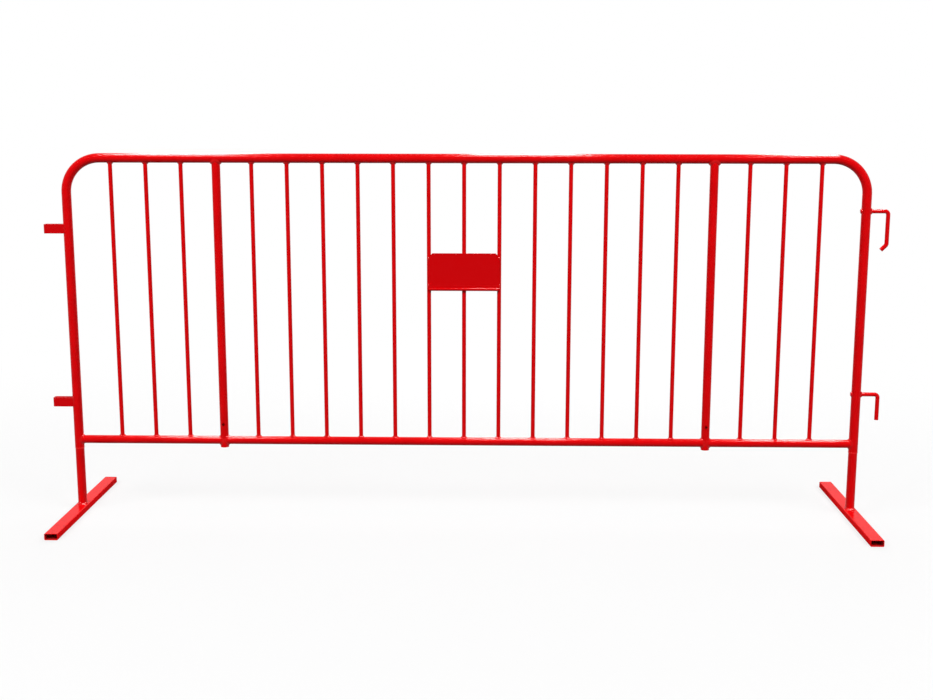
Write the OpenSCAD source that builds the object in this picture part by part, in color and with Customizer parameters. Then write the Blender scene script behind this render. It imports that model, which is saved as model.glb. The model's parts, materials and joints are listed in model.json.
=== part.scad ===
// Pedestrian barrier panel: a welded steel tube panel that stands on two turning feet.
// All lengths are in millimetres. X runs along the panel, Y across it and Z up.
// The origin lies on the ground below the middle of the panel.

/* [Frame tube] */
// Width of the panel over its two posts
panel_w = 2438; // [1800:1:3000]
// Height of the top rail's upper side above the ground
panel_h = 1115; // [900:1:1400]
// Outside diameter of the bent frame tube
frame_od = 28.6; // [26:0.1:38]
// Wall of the bent frame tube
frame_wall = 1.2; // [1:0.1:2.5]
// Radius of the two bends, at the tube's middle line
bend_r = 104; // [60:1:125]
// Length of each post below the bottom rail's middle line
post_tail = 24.5; // [18:0.5:60]

/* [Bottom rail] */
// Height of the bottom rail's middle line above the ground
rail_z = 229; // [180:1:260]
// Outside diameter of the bottom rail
rail_od = 25.4; // [18:0.1:26]
// Wall of the bottom rail
rail_wall = 1.2; // [0.8:0.1:2.5]

/* [Infill] */
// Steps of the uprights' pitch from the middle bar to the last one on each side
side_steps = 10; // [8:1:12]
// Steps of the pitch from the middle bar to each receiver tube
receiver_steps = 7; // [3:1:7]
// Distance from a post's middle line to that of the nearest bar
end_gap = 136.7; // [132:0.1:200]
// Outside diameter of an infill bar
bar_od = 12.7; // [9:0.1:20]
// Wall of an infill bar
bar_wall = 1.2; // [0.8:0.1:2.5]

/* [Receiver tubes] */
// Outside diameter of a receiver tube
receiver_od = 26; // [22:0.1:32]
// Wall of a receiver tube
receiver_wall = 1.2; // [0.8:0.1:2.5]
// Length of a receiver tube below the bottom rail's middle line
receiver_tail = 21.5; // [15:0.5:60]
// Height of the screw holes above the bottom rail's middle line
screw_rise = 52; // [30:0.5:80]
// Diameter of the screw holes in the receivers and the posts
screw_hole_d = 8.1; // [6.5:0.1:10]

/* [Sign plate] */
// Distance from the top rail's middle line down to the plate's upper edge
plate_below = 283.8; // [60:0.1:450]
// Height of the plate
plate_h = 114.4; // [80:0.2:200]
// Thickness of the plate's sheet
plate_t = 1.5; // [1:0.1:2.5]
// Size of the cut top corners
plate_corner = 11; // [4:0.5:30]
// Outside diameter of the rolled lower edge
curl_od = 10; // [7:0.5:16]

/* [Coupling reach] */
// How far the loops and the hooks stand out beyond the posts
reach = 58; // [45:0.5:90]

/* [Loops] */
// Distance from the start of the frame's bend down to the upper loop's middle
upper_loop_below = 109.2; // [40:0.2:300]
// Height of the lower loop's middle
lower_loop_z = 349.4; // [300:0.2:500]
// Height of the strap that a loop is bent from
strap_h = 28; // [15:0.5:40]
// Thickness of the strap
strap_t = 3; // [2:0.1:5]
// Width across the outside of a loop
loop_w = 25; // [20:0.5:28]
// Outside radius of a loop's two bends
loop_bend_r = 5.5; // [5.2:0.1:9]

/* [Hooks] */
// Diameter of the hook rod
hook_d = 12.7; // [8:0.1:16]
// Distance from the start of the frame's bend down to the upper hook's level arm
upper_hook_below = 50.2; // [20:0.2:200]
// Height of the lower hook's level arm
lower_hook_z = 385.7; // [360:0.1:500]
// Drop of the upper hook's straight leg below its level arm
upper_hook_drop = 96; // [60:1:140]
// Drop of the lower hook's straight leg below its level arm
lower_hook_drop = 80; // [40:1:140]
// Radius of the hooks' bends, at the rod's middle line
hook_bend_r = 10; // [8.5:0.5:20]
// Turn of the upper hook's tip towards the post, in degrees
tip_turn = 45; // [20:1:60]
// Straight length of the upper hook's turned tip
tip_l = 19; // [8:0.5:30]
// Length of rod that stands out on the inner side of the post
hook_nub = 3; // [1:0.5:10]

/* [Feet] */
// Length of a foot bar
foot_l = 610; // [400:1:900]
// Width of a foot bar
foot_w = 40; // [32:0.1:60]
// Height of a foot bar
foot_h = 20; // [14:0.1:40]
// Wall of a foot bar
foot_wall = 1.9; // [1.2:0.1:3]
// Outside radius of a foot bar's long edges
foot_edge_r = 3; // [2.4:0.1:5]
// How far a leg's surface lies inside that of the post above it
leg_inset = 0.6; // [0.2:0.1:0.8]
// Wall of a leg tube
leg_wall = 1.5; // [1:0.1:2.5]
// Gap between a leg's top end and the lower hook's rod
leg_top_gap = 25; // [10:1:60]
// Turn of a foot each way from its place across the panel, in degrees
foot_turn = 90; // [30:1:120]

/* [Retaining screws] */
// Diameter of the screw's head
screw_head_d = 14; // [11:0.5:18]
// Height of the screw's head
screw_head_h = 4.4; // [3:0.1:8]
// Diameter of the screw's point, which runs in the leg's slot
screw_point_d = 5; // [3:0.1:6]
// Width across the flats of the driving socket in the head
screw_key = 5; // [3:0.1:6]

/* [Hidden] */
// Gap that a weld fills between two welded pieces
weld_gap = 0.2;
// How much the upper end of a receiver's bore is opened, where its shaped edge is dressed
cope_dress = 0.3;
// Length of that dressed end below the top rail
cope_dress_l = 6;
// Running gap around a leg inside its post
leg_clear = 0.1;
// Gap between a post's rim and the leg's shoulder below it
rim_gap = 0.25;
// Gap around a screw in its hole
screw_clear = 0.1;
// Gap around a screw's point in the leg's slot, and between its shank and the leg
slot_clear = 0.3;
// Length of the screw's point past the leg's inner wall
point_extra = 1;
// How much slimmer the upper hook's tip is than the bend it comes out of
tip_neck = 0.1;
// How far the tip runs back into that bend
tip_root = 0.5;
// Cut edges of rods, legs and the shoulder
rod_edge = 1.2;
leg_edge = 0.6;
// Overrun of every cut past the face it starts from
over = 5;
// Short chords in a quarter turn of the foot bar's edges
edge_steps = 6;
$fn = 72;

// Middle lines of the frame tube
post_x = (panel_w - frame_od) / 2;
top_z = panel_h - frame_od / 2;
post_end = rail_z - post_tail;
bend_x = post_x - bend_r;
bend_z = top_z - bend_r;

// Upright places and their pitch
pitch = (post_x - end_gap) / side_steps;
receiver_x = receiver_steps * pitch;
receiver_end = rail_z - receiver_tail;
dress_z = top_z - frame_od / 2 - weld_gap - cope_dress_l;
bar_steps = [for (step = [-side_steps : side_steps]) if (abs(step) != receiver_steps) step];

// Sign plate, in front of the bars
plate_w = 2 * pitch;
plate_z = top_z - plate_below - plate_h;
plate_back = -bar_od / 2 - weld_gap;
curl_y = plate_back - curl_od / 2;
curl_z = plate_z + curl_od / 2;

// Loops and hooks
upper_loop_z = bend_z - upper_loop_below;
upper_hook_z = bend_z - upper_hook_below;
reach_x = post_x + frame_od / 2 + reach;
hook_x = reach_x - hook_d / 2;
hook_hole_d = hook_d + 2 * weld_gap;

// Legs and screws
leg_r = frame_od / 2 - leg_inset;
stub_r = frame_od / 2 - frame_wall - leg_clear;
leg_top = lower_hook_z - hook_d / 2 - leg_top_gap;
shoulder_z = post_end - rim_gap;
screw_z = rail_z + screw_rise;
screw_d = screw_hole_d - 2 * screw_clear;
screw_seat = frame_od / 2 + screw_clear;
slot_h = screw_point_d + 2 * slot_clear;
slot_turn = foot_turn + asin((screw_point_d / 2 + slot_clear) / (stub_r - leg_wall));

paint = [0.80, 0.01, 0.04];
zinc = [0.72, 0.73, 0.75];

function bar_name(k) = str("infill_bar_", k < 10 ? "0" : "", k);

// A rod along X from one place to another
module rod_x(d, from, to, z) {
    translate([from, 0, z]) rotate([0, 90, 0]) cylinder(d = d, h = to - from);
}

// An upright rod
module rod_z(d, x, from, to) {
    translate([x, 0, from]) cylinder(d = d, h = to - from);
}

// The frame's posts as rods, with their lower ends at the given height
module post_rods(d, end) {
    for (side = [-1, 1]) rod_z(d, side * post_x, end, bend_z);
}

// The frame's two bends as rods
module bend_rods(d) {
    for (side = [0, 1]) mirror([side, 0, 0])
        translate([bend_x, 0, bend_z]) rotate([90, 0, 0])
            rotate_extrude(angle = 90) translate([bend_r, 0]) circle(d = d);
}

// The frame's top rail as a rod
module top_rail_rod(d) {
    rod_x(d, -bend_x, bend_x, top_z);
}

// Cuts a level hook rod's way through the right post
module hook_hole(z) {
    rod_x(hook_hole_d, post_x - frame_od / 2 - over, post_x + frame_od / 2 + over, z);
}

// Cuts a screw hole through the wall on one side of an upright tube: front is -1, back is 1
module screw_hole(x, od, face) {
    translate([x, 0, screw_z]) rotate([-90 * face, 0, 0]) cylinder(d = screw_hole_d, h = od / 2 + over);
}

// The bent tube that is both posts and the top rail
module top_frame() {
    inner = frame_od - 2 * frame_wall;
    color(paint) difference() {
        union() {
            post_rods(frame_od, post_end);
            bend_rods(frame_od);
            top_rail_rod(frame_od);
        }
        post_rods(inner, post_end - over);
        bend_rods(inner);
        top_rail_rod(inner);
        hook_hole(upper_hook_z);
        hook_hole(lower_hook_z);
        for (side = [-1, 1]) screw_hole(side * post_x, frame_od, 1);
    }
}

// One length of the bottom rail, with its ends shaped round the uprights that it meets
module bottom_rail(from, from_od, to, to_od) {
    color(paint) difference() {
        rod_x(rail_od, from, to, rail_z);
        rod_x(rail_od - 2 * rail_wall, from - over, to + over, rail_z);
        rod_z(from_od + 2 * weld_gap, from, rail_z - rail_od, rail_z + rail_od);
        rod_z(to_od + 2 * weld_gap, to, rail_z - rail_od, rail_z + rail_od);
    }
}

module bottom_rail_left() {
    bottom_rail(-post_x, frame_od, -receiver_x, receiver_od);
}

module bottom_rail_middle() {
    bottom_rail(-receiver_x, receiver_od, receiver_x, receiver_od);
}

module bottom_rail_right() {
    bottom_rail(receiver_x, receiver_od, post_x, frame_od);
}

// A receiver tube, open below and shaped round the top rail above
module receiver(x) {
    bore = receiver_od - 2 * receiver_wall;
    color(paint) difference() {
        rod_z(receiver_od, x, receiver_end, top_z);
        rod_z(bore, x, receiver_end - over, top_z + over);
        rod_z(bore + 2 * cope_dress, x, dress_z, top_z + over);
        top_rail_rod(frame_od + 2 * weld_gap);
        screw_hole(x, receiver_od, -1);
    }
}

module left_receiver() {
    receiver(-receiver_x);
}

module right_receiver() {
    receiver(receiver_x);
}

// A thin upright bar, shaped round the rails at both ends
module infill_bar(step) {
    x = step * pitch;
    color(paint) difference() {
        rod_z(bar_od, x, rail_z, top_z);
        rod_z(bar_od - 2 * bar_wall, x, rail_z - over, top_z + over);
        top_rail_rod(frame_od + 2 * weld_gap);
        rod_x(rail_od + 2 * weld_gap, x - bar_od, x + bar_od, rail_z);
    }
}

// The sheet plate across the middle bars, with its lower edge rolled forward
module sign_plate() {
    half = plate_w / 2;
    sheet_h = plate_h - curl_od / 2;
    color(paint) {
        translate([0, plate_back, curl_z]) rotate([90, 0, 0]) linear_extrude(height = plate_t)
            polygon([
                [-half, 0],
                [half, 0],
                [half, sheet_h - plate_corner],
                [half - plate_corner, sheet_h],
                [plate_corner - half, sheet_h],
                [-half, sheet_h - plate_corner]
            ]);
        translate([half, curl_y, curl_z]) rotate([0, -90, 0]) rotate([0, 0, 90])
            rotate_extrude(angle = 270) translate([curl_od / 2 - plate_t, 0]) square([plate_t, plate_w]);
    }
}

// A strap bent to a U, with its two ends shaped round the left post
module loop(z) {
    side_l = reach_x - loop_bend_r - post_x;
    end_l = loop_w - 2 * loop_bend_r;
    color(paint) translate([0, 0, z - strap_h / 2]) difference() {
        union() {
            for (face = [0, 1]) mirror([0, face, 0]) {
                translate([-post_x - side_l, loop_w / 2 - strap_t, 0]) cube([side_l, strap_t, strap_h]);
                translate([-reach_x + loop_bend_r, loop_w / 2 - loop_bend_r, 0]) rotate([0, 0, 90])
                    rotate_extrude(angle = 90) translate([loop_bend_r - strap_t, 0]) square([strap_t, strap_h]);
            }
            translate([-reach_x, -end_l / 2, 0]) cube([strap_t, end_l, strap_h]);
        }
        translate([-post_x, 0, -over]) cylinder(d = frame_od + 2 * weld_gap, h = strap_h + 2 * over);
    }
}

module upper_loop() {
    loop(upper_loop_z);
}

module lower_loop() {
    loop(lower_loop_z);
}

// A rod that points down, with the rim of its end cut back
module rod_tip(d, l) {
    translate([0, 0, rod_edge - l]) cylinder(d = d, h = l - rod_edge);
    translate([0, 0, -l]) cylinder(d1 = d - 2 * rod_edge, d2 = d, h = rod_edge);
}

// The level arm of a hook, from inside the right post to its bend, and the bend
module hook_arm(z) {
    inner_x = post_x - frame_od / 2 - hook_nub;
    arm_l = hook_x - hook_bend_r - inner_x;
    translate([hook_x - hook_bend_r, 0, z]) rotate([0, 90, 0]) rod_tip(hook_d, arm_l);
    translate([hook_x - hook_bend_r, 0, z - hook_bend_r]) rotate([90, 0, 0])
        rotate_extrude(angle = 90) translate([hook_bend_r, 0]) circle(d = hook_d);
}

// The upper hook, with its tip turned towards the post
module upper_hook() {
    turn_z = upper_hook_z - upper_hook_drop;
    color(paint) {
        hook_arm(upper_hook_z);
        rod_z(hook_d, hook_x, turn_z, upper_hook_z - hook_bend_r);
        translate([hook_x - hook_bend_r, 0, turn_z]) rotate([90, 0, 0]) {
            mirror([0, 1, 0]) rotate_extrude(angle = tip_turn) translate([hook_bend_r, 0]) circle(d = hook_d);
            rotate([0, 0, -tip_turn]) translate([hook_bend_r, tip_root, 0]) rotate([-90, 0, 0])
                rod_tip(hook_d - tip_neck, tip_l + tip_root);
        }
    }
}

// The lower hook, with a straight leg
module lower_hook() {
    color(paint) {
        hook_arm(lower_hook_z);
        translate([hook_x, 0, lower_hook_z - hook_bend_r]) rod_tip(hook_d, lower_hook_drop - hook_bend_r);
    }
}

// The screws at the back of the posts, whose points run in the legs' slots
module retaining_screws() {
    shank_end = stub_r + slot_clear;
    point_end = stub_r - leg_wall - point_extra;
    socket_h = screw_head_h / 2;
    color(zinc) for (side = [-1, 1]) translate([side * post_x, 0, screw_z]) rotate([-90, 0, 0]) difference() {
        union() {
            translate([0, 0, point_end]) cylinder(d = screw_point_d, h = shank_end - point_end);
            translate([0, 0, shank_end]) cylinder(d = screw_d, h = screw_seat - shank_end);
            translate([0, 0, screw_seat]) cylinder(d1 = screw_head_d, d2 = screw_d, h = screw_head_h);
        }
        translate([0, 0, screw_seat + screw_head_h - socket_h])
            cylinder(d = screw_key / cos(30), h = socket_h + over, $fn = 6);
    }
}

// A leg tube: its lower length carries the post on a shoulder, its upper length turns inside the post
module leg_tube(x) {
    color(paint) translate([x, 0, 0]) difference() {
        rotate_extrude() polygon([
            [leg_r - leg_wall, foot_h],
            [leg_r, foot_h],
            [leg_r, shoulder_z - leg_edge],
            [leg_r - leg_edge, shoulder_z],
            [stub_r, shoulder_z],
            [stub_r, leg_top - leg_edge],
            [stub_r - leg_edge, leg_top],
            [stub_r - leg_wall, leg_top],
            [stub_r - leg_wall, shoulder_z - leg_wall],
            [leg_r - leg_wall, shoulder_z - 2 * leg_wall]
        ]);
        translate([0, 0, screw_z - slot_h / 2]) rotate([0, 0, 90 - slot_turn])
            rotate_extrude(angle = 2 * slot_turn)
                translate([stub_r - leg_wall - over, 0]) square([leg_wall + 2 * over, slot_h]);
    }
}

module left_leg_tube() {
    leg_tube(-post_x);
}

module right_leg_tube() {
    leg_tube(post_x);
}

// Outline of a rectangle with rounded corners
corner_sides = [[1, 1], [-1, 1], [-1, -1], [1, -1]];
function round_rect(w, h, r) = [
    for (c = [0 : len(corner_sides) - 1], a = [0 : edge_steps])
        let (turn = 90 * (c + a / edge_steps), side = corner_sides[c])
        [
            side[0] * (w / 2 - r) + r * cos(turn),
            side[1] * (h / 2 - r) + r * sin(turn)
        ]
];

// A foot bar: a rectangular tube across the panel, open at both ends
module foot_bar(x) {
    color(paint) translate([x, foot_l / 2, foot_h / 2]) rotate([90, 0, 0]) linear_extrude(height = foot_l)
        difference() {
            polygon(round_rect(foot_w, foot_h, foot_edge_r));
            polygon(round_rect(foot_w - 2 * foot_wall, foot_h - 2 * foot_wall, foot_edge_r - foot_wall));
        }
}

module left_foot_bar() {
    foot_bar(-post_x);
}

module right_foot_bar() {
    foot_bar(post_x);
}

top_frame();
bottom_rail_left();
bottom_rail_middle();
bottom_rail_right();
left_receiver();
right_receiver();
sign_plate();
upper_loop();
lower_loop();
upper_hook();
lower_hook();
retaining_screws();
left_leg_tube();
left_foot_bar();
right_leg_tube();
right_foot_bar();
for (k = [1 : len(bar_steps)])
    infill_bar(bar_steps[k - 1]);
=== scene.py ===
"""Looks of the pedestrian barrier panel: painted tubes, welds, rolled plate, turning feet, studio."""

import json
from math import asin, copysign, cos, pi, radians, sin, sqrt
from typing import NamedTuple

import bmesh
import bpy
from bpy.props import FloatProperty, FloatVectorProperty, PointerProperty
from bpy.types import NodeSocket, Operator, Panel, PropertyGroup
from mathutils import Matrix, Vector


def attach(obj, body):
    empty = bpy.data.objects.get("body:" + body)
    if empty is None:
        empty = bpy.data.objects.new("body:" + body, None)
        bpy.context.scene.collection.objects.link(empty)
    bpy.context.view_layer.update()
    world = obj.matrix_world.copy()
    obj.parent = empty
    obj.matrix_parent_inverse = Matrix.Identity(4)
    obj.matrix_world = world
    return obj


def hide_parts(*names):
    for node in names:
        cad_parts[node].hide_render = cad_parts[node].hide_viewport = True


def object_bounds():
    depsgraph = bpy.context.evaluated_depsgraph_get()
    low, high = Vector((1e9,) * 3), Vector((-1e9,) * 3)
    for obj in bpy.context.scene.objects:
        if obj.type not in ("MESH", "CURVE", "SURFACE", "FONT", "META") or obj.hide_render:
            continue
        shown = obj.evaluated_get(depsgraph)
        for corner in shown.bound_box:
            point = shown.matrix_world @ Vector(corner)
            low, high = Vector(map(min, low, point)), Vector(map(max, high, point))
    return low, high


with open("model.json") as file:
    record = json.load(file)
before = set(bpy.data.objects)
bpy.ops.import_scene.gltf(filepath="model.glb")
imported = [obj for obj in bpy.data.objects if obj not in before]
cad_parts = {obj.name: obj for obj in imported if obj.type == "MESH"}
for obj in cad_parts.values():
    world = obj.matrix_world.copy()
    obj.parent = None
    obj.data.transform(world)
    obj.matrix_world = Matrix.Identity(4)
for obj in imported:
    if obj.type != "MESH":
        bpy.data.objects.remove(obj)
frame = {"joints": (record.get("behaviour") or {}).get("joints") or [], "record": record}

bl_info = {
    "name": "Pedestrian barrier panel",
    "version": (1, 0, 0),
    "blender": (4, 5, 0),
    "location": "View3D > Sidebar > Barrier",
    "description": "Builds a painted steel barrier panel that stands on two turning feet",
    "category": "Add Mesh",
}

CAD_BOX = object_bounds()
MOUNTS = {mount["name"]: mount for mount in frame["record"]["mounts"]}
JOINTS = {joint["name"]: joint for joint in frame["joints"]}
FOOT_JOINT = JOINTS["right_foot_turn"]

X = Vector((1, 0, 0))
Y = Vector((0, 1, 0))
Z = Vector((0, 0, 1))
QUARTER = pi / 2
MILLIMETRE = 0.001
SIDES = (("left", -1), ("right", 1))
DONE = {"FINISHED"}
TUBE_WALL = 0.0012

# Welded ends go this deep into what they meet, so that no gap shows
SINK = 0.0002

# Steps of the round shapes
TUBE_SIDES = 64
BAR_SIDES = 40
SCREW_SIDES = 36
BEAD_SIDES = 10
BEND_STEPS = 36
ROD_BEND_STEPS = 16
ROLL_STEPS = 54
DOME_STEPS = 8
WELD_STEPS = 120
FILLET_STEPS = 6
EDGE_STEPS = 4
CORNER_STEPS = 6
STRAP_CORNER_STEPS = 3
PLATE_EDGE_STEPS = 2
SHARP_EDGE = radians(40)
SCREW_SHARP_EDGE = radians(28)
ROLL_TURN = radians(270)
HEX_TURN = radians(60)

# Weld beads: shares by which they swell, swells in a turn, and crowns as shares of the face's width
FINE_RIPPLE = 0.035
SLOW_RIPPLE = 0.10
SLOW_SHIFT = 1.7
TUBE_RIPPLES = 27
LEG_RIPPLES = 24
TUBE_CROWN = 0.16
LEG_CROWN = 0.14
TOP_WELD_SHIFT = 1.3
RAIL_WELD_SHIFT = 2.1
BEAD_RIPPLE = 0.08
BEAD_PITCH = 0.0022
BEAD_STEP = 0.0006
BEAD_EASING = 6
BEAD_TIP = 0.02

# Grain of the coats: noise scales in a metre, and the ranges of noise that are spread out
COAT_GROUP = "powder_coat_surface"
PEEL_DETAIL = 1.5
FLOW_SCALE = 90.0
FLOW_DETAIL = 2.0
FLOW_SHARE = 1.4
FLOW_RANGE = (0.35, 0.65)
TONE_DETAIL = 4.0
TONE_ROUGHNESS = 0.6
TONE_RANGE = (0.30, 0.62)
ZINC_GRAIN = 1500.0
UPPER_FACES = (0.4, 0.9)

# Numbers of the finishes in a piece's list of materials, and those lists
PAINT = 0
BORE = 1
RUBBED_HIGHLIGHT = 2
TUBE = ("red_tube_coat", "tube_bore")
LEG = (*TUBE, "red_rubbed_coat")
FOOT = ("red_foot_coat", "tube_bore")
FLAT = ("red_flat_coat",)
ROD = ("red_tube_coat",)
WELD = ("red_weld_coat",)
SCREW = ("bright_zinc",)

# Stage, in metres: half the floor, where it fades to white, and the lamps' places and sizes
SEEN = ("Is Camera Ray", "Is Glossy Ray", "Is Transmission Ray")
WHITE = (1.0, 1.0, 1.0)
FLOOR_HALF = 30.0
FLOOR_STEPS = 24
FLOOR_FADE = (1.2, 3.2)
LAMPS = (
    ("key", Vector((-3.9, -3.8, 4.4)), (3.6, 2.2)),
    ("fill", Vector((3.9, -3.8, 4.4)), (3.6, 2.2)),
    ("back", Vector((0.3, 4.2, 3.2)), (5.0, 3.0)),
)
LAMP_AIM = Vector((0, 0, 0.6))
CEILING_PLACES = (("left", -1.62), ("middle", 0.27), ("right", 1.95))
CEILING_HEIGHT = 4.0
CEILING_SIZE = (0.62, 6.0)
SENSOR_WIDTH = 36.0


def length(name, description, default):
    """A size in metres that a user can change."""
    kind = {"subtype": "DISTANCE", "unit": "LENGTH", "precision": 4}
    return FloatProperty(name=name, description=description, default=default, min=0.0, **kind)


def share(name, description, default, high=1.0):
    """A plain number from zero up."""
    kind = {"min": 0.0, "max": high, "precision": 3}
    return FloatProperty(name=name, description=description, default=default, **kind)


def angle(name, description, degrees):
    """A turn, given in degrees and kept in radians."""
    kind = {"subtype": "ANGLE", "unit": "ROTATION"}
    return FloatProperty(name=name, description=description, default=radians(degrees), **kind)


def colour(name, description, default):
    """A linear colour."""
    kind = {"subtype": "COLOR", "size": 3, "min": 0.0, "max": 1.0}
    return FloatVectorProperty(name=name, description=description, default=default, **kind)


def mount_place(name, axis):
    """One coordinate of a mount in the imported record."""
    return MOUNTS[name]["pos_m"][axis]


def mount_radius(name):
    """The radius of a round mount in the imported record."""
    return MOUNTS[name]["dims"]["r_mm"] * MILLIMETRE


class BarrierSizes(PropertyGroup):
    """Sizes of the barrier's pieces"""

    post_x: length("Post place", "From the middle to a post", FOOT_JOINT["pos_m"][0])
    post_end: length("Post end", "Height of the posts' lower ends", FOOT_JOINT["pos_m"][2])
    panel_height: length("Panel height", "Ground to the top rail's upper side", 1.115)
    frame_diameter: length("Frame diameter", "Outside of the bent tube", 0.0286)
    frame_wall: length("Frame wall", "Wall of the bent tube", 0.0012)
    bend_radius: length("Bend radius", "Of the frame's bends, at the middle line", 0.104)
    rail_height: length("Rail height", "Ground to the bottom rail's middle line", 0.229)
    rail_diameter: length("Rail diameter", "Outside of the bottom rail", 0.0254)
    bar_diameter: length("Bar diameter", "Outside of an infill bar", 0.0127)
    bar_pitch: length("Bar pitch", "Between the middle lines of two uprights", 0.1068)
    tube_wall: length("Tube wall", "Wall of the rails, bars and receivers", TUBE_WALL)
    receiver_x: length("Receiver place", "Middle to a receiver", mount_place("right_receiver_bore", 0))
    receiver_end: length("Receiver end", "Height of its open end", mount_place("right_receiver_bore", 2))
    receiver_radius: length("Receiver radius", "Outside", mount_radius("right_receiver_bore") + TUBE_WALL)
    screw_height: length("Screw height", "Ground to the screw holes", mount_place("right_screw_hole", 2))
    screw_hole_radius: length("Screw hole radius", "Of the screw holes", mount_radius("right_screw_hole"))
    plate_top: length("Plate top", "Ground to the sign plate's upper edge", 0.8169)
    plate_height: length("Plate height", "Height of the sign plate", 0.1144)
    plate_front: length("Plate front", "Bars' middle plane to its face", -mount_place("sign_face", 1))
    plate_thickness: length("Plate thickness", "Of the sign plate's sheet", 0.0015)
    plate_edge: length("Plate edge", "Bevel of the sheet's cut edges", 0.0003)
    plate_corner: length("Plate corner", "Size of the cut top corners", 0.011)
    roll_diameter: length("Roll diameter", "Of the plate's rolled lower edge", 0.010)
    reach: length("Reach", "Of the loops and hooks beyond the posts", 0.058)
    upper_loop_height: length("Upper loop height", "Of its middle", mount_place("upper_loop_eye", 2))
    lower_loop_height: length("Lower loop height", "Of its middle", mount_place("lower_loop_eye", 2))
    strap_height: length("Strap height", "Of the loops' strap", 0.028)
    strap_thickness: length("Strap thickness", "Of the loops' strap", 0.003)
    strap_edge: length("Strap edge", "Rounding of the strap's long edges", 0.0006)
    loop_width: length("Loop width", "Across the outside of a loop", 0.025)
    loop_bend: length("Loop bend", "Outside radius of a loop's bends", 0.0055)
    hook_radius: length("Hook radius", "Of the hook rod", mount_radius("lower_hook_pin"))
    hook_bend: length("Hook bend", "Radius of the hooks' bends, at the middle line", 0.010)
    hook_edge: length("Hook edge", "Rounding of the rod's cut ends", 0.0012)
    hook_nub: length("Hook nub", "Rod that stands out on the post's inner side", 0.003)
    upper_hook_height: length("Upper hook height", "Of its level arm", 0.9465)
    upper_hook_drop: length("Upper hook drop", "From the arm to the turned tip", 0.096)
    lower_hook_height: length("Lower hook height", "Of its level arm", 0.3857)
    lower_hook_drop: length("Lower hook drop", "From the arm to the rod's end", 0.080)
    tip_turn: angle("Tip turn", "Of the upper hook's tip towards the post", 45)
    tip_length: length("Tip length", "Straight length of the turned tip", 0.019)
    foot_length: length("Foot length", "Of a foot bar", 0.610)
    foot_width: length("Foot width", "Of a foot bar", 0.040)
    foot_height: length("Foot height", "Of a foot bar", 0.020)
    foot_wall: length("Foot wall", "Of a foot bar", 0.0019)
    foot_corner: length("Foot corner", "Outside radius of its long edges", 0.003)
    foot_rim: length("Foot rim", "Rounding of its sawn ends", 0.0004)
    leg_inset: length("Leg inset", "How far a leg lies inside the post's surface", 0.0006)
    leg_wall: length("Leg wall", "Of a leg tube", 0.0015)
    leg_top: length("Leg top", "Height of the leg's upper end, inside the post", 0.35435)
    leg_gap: length("Leg gap", "Running gap round a leg in its post", 0.0001)
    rim_gap: length("Rim gap", "Between a post's rim and the leg's shoulder", 0.00025)
    shoulder_bead: length("Shoulder bead", "Height of the swaged ring under a post's rim", 0.0036)
    shoulder_swell: length("Shoulder swell", "How far that ring stands out from the leg", 0.0010)
    rim_edge: length("Rim edge", "Rounding of the tubes' open ends", 0.0003)
    screw_head: length("Screw head", "Radius of the retaining screws' heads", 0.007)
    screw_head_height: length("Screw head height", "Of the retaining screws", 0.0044)
    screw_head_band: length("Screw head band", "Height of the upright rim of their heads", 0.00066)
    screw_shank: length("Screw shank", "Radius of the retaining screws' shanks", 0.00395)
    screw_point: length("Screw point", "Radius of the point that runs in a leg's slot", 0.0025)
    point_reach: length("Point reach", "Of that point past the leg's inner wall", 0.001)
    slot_gap: length("Slot gap", "Round the point in a leg's slot", 0.0003)
    foot_turn: angle("Foot turn", "Of a foot each way", FOOT_JOINT["range_deg"][1])
    screw_key: length("Screw key", "Across the flats of the driving socket", 0.005)
    socket_rim: length("Socket rim", "Radius of the flat round the driving socket", 0.003375)
    socket_depth: length("Socket depth", "Of the driving socket", 0.0033)
    bar_weld: length("Bar weld", "Leg of the bars' welds", 0.0038)
    tube_weld: length("Tube weld", "Leg of the receivers' welds under the top rail", 0.0054)
    rail_weld: length("Rail weld", "Leg of the welds at the bottom rail's ends", 0.0036)
    hook_weld: length("Hook weld", "Leg of the hooks' welds", 0.0036)
    nub_weld: length("Nub weld", "Leg of the hooks' welds on the post's inner side", 0.0024)
    foot_weld: length("Foot weld", "Leg of the welds between legs and feet", 0.0052)
    weld_margin: length("Weld margin", "Of a foot's top that those welds leave free", 0.0024)
    strap_weld: length("Strap weld", "Radius of the loops' beads", 0.0016)
    plate_tack: length("Plate tack", "Half the length of the plate's tack welds", 0.0046)
    tack_rise: length("Tack rise", "From the plate's lower edge to its lower tacks", 0.014)


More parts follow.
